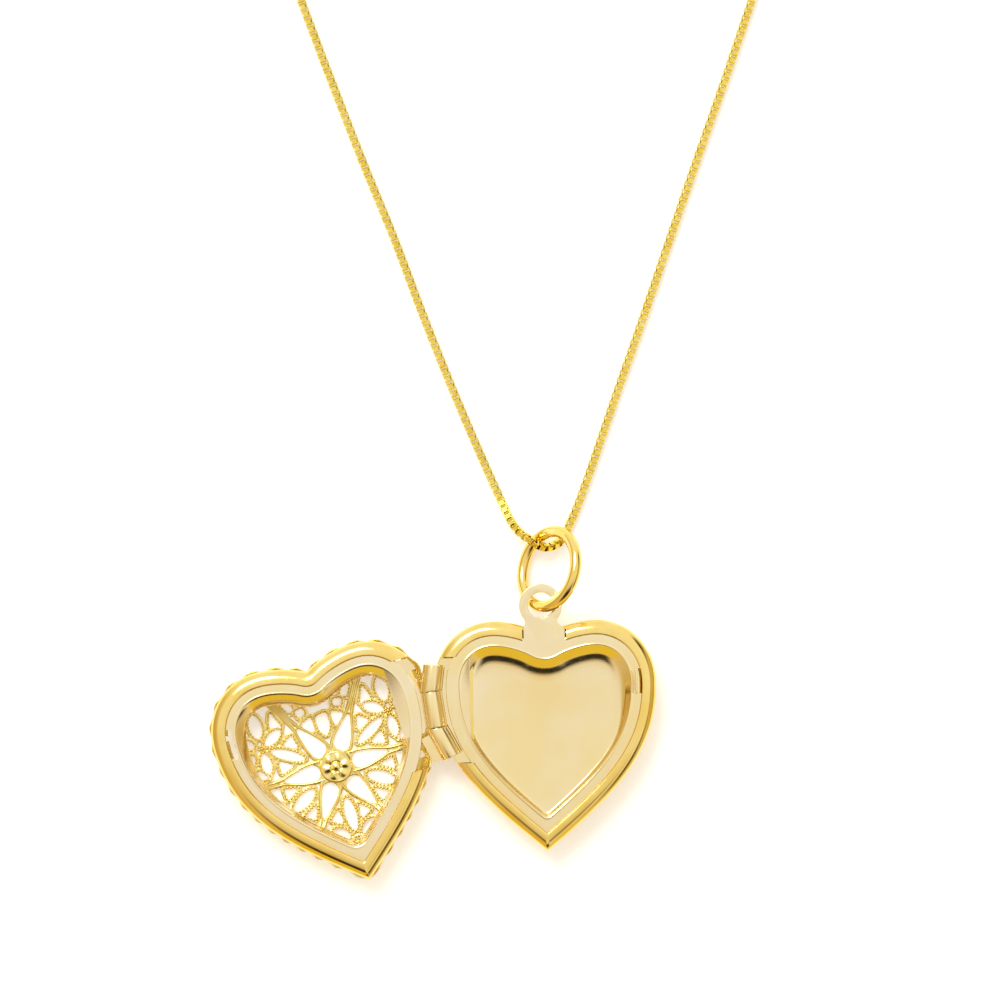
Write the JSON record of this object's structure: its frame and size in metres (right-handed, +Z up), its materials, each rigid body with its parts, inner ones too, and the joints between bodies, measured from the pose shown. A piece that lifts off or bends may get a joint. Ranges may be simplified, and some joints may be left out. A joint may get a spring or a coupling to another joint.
{
  "type": "heart locket necklace",
  "caption": "Open heart locket with a solid photo half and a pierced front half, hung by a jump ring on a fine box chain with a spring-ring clasp.",
  "frame": {"origin": "middle of the footprint of the open locket with its jump ring, on the table it lies on", "axes": "+Z up out of the table, +Y from the locket along the necklace, +X to the right across the two halves"},
  "size_m": [0.0561, 0.1013, 0.0067],
  "materials": {
    "polished_gold": "polished gold plate",
    "pale_gold": "pale gold, softly polished",
    "filigree_gold": "gold, pierced and chased",
    "chain_gold": "gold plate, diamond-cut links",
    "pin_steel": "drawn wire",
    "thread": "white twisted thread"
  },
  "bodies": {
    "necklace_chain": {"chain_strands": "chain_gold", "chain_coil": "chain_gold", "chain_tail": "chain_gold", "coil_tie": "thread", "clasp_end_cap": "chain_gold", "plain_end_cap": "chain_gold"},
    "jump_ring": {"pendant_ring": "polished_gold"},
    "back_half": {"back_shell": "polished_gold", "back_plate": "pale_gold", "hinge_knuckle_upper": "polished_gold", "hinge_knuckle_lower": "polished_gold", "hinge_pin": "pin_steel"},
    "front_half": {"front_rim": "polished_gold", "front_plate": "pale_gold", "filigree_cover": "filigree_gold", "filigree_rosette": "filigree_gold", "hinge_knuckle_middle": "polished_gold"},
    "closing_ring": {"end_ring": "chain_gold"},
    "link": {"clasp_link": "chain_gold"},
    "clasp": {"clasp_body": "polished_gold", "clasp_spring": "pin_steel"},
    "trigger": {"clasp_bolt": "polished_gold"}
  },
  "joints": [
    {"name": "ring_swing", "type": "hinge", "parent": "necklace_chain", "child": "jump_ring", "pos_m": [0.01052, 0.01513, 0.00198], "axis": [-0.8664, 0.3249, 0.3791], "range_deg": [0, 55]},
    {"name": "locket_swing", "type": "hinge", "parent": "jump_ring", "child": "back_half", "pos_m": [0.01005, 0.0095, 0.00323], "axis": [-0.6173, 0.2247, -0.7539], "range_deg": [0, 75]},
    {"name": "cover_hinge", "type": "hinge", "parent": "back_half", "child": "front_half", "pos_m": [0.00013, -0.00048, 0.0038], "axis": [-0.1564, 0.9877, 0], "range_deg": [0, 180]},
    {"name": "closing_ring_swing", "type": "hinge", "parent": "necklace_chain", "child": "closing_ring", "pos_m": [0.03255, 0.07319, 0.0007], "axis": [0.9473, -0.3204, 0], "range_deg": [0, 95]},
    {"name": "link_swing", "type": "hinge", "parent": "necklace_chain", "child": "link", "pos_m": [0.00364, 0.07746, 0.0007], "axis": [-0.5, -0.866, 0], "range_deg": [0, 90]},
    {"name": "clasp_swing", "type": "hinge", "parent": "link", "child": "clasp", "pos_m": [0.00598, 0.07611, 0.0007], "axis": [-0.5, -0.866, 0], "range_deg": [0, 90]},
    {"name": "clasp_trigger", "type": "hinge", "parent": "clasp", "child": "trigger", "pos_m": [0.00888, 0.07444, 0.00057], "axis": [0, 0, 1], "range_deg": [0, 62], "stiffness_Nm_per_rad": 0.0005, "springref_deg": -11.46}
  ]
}
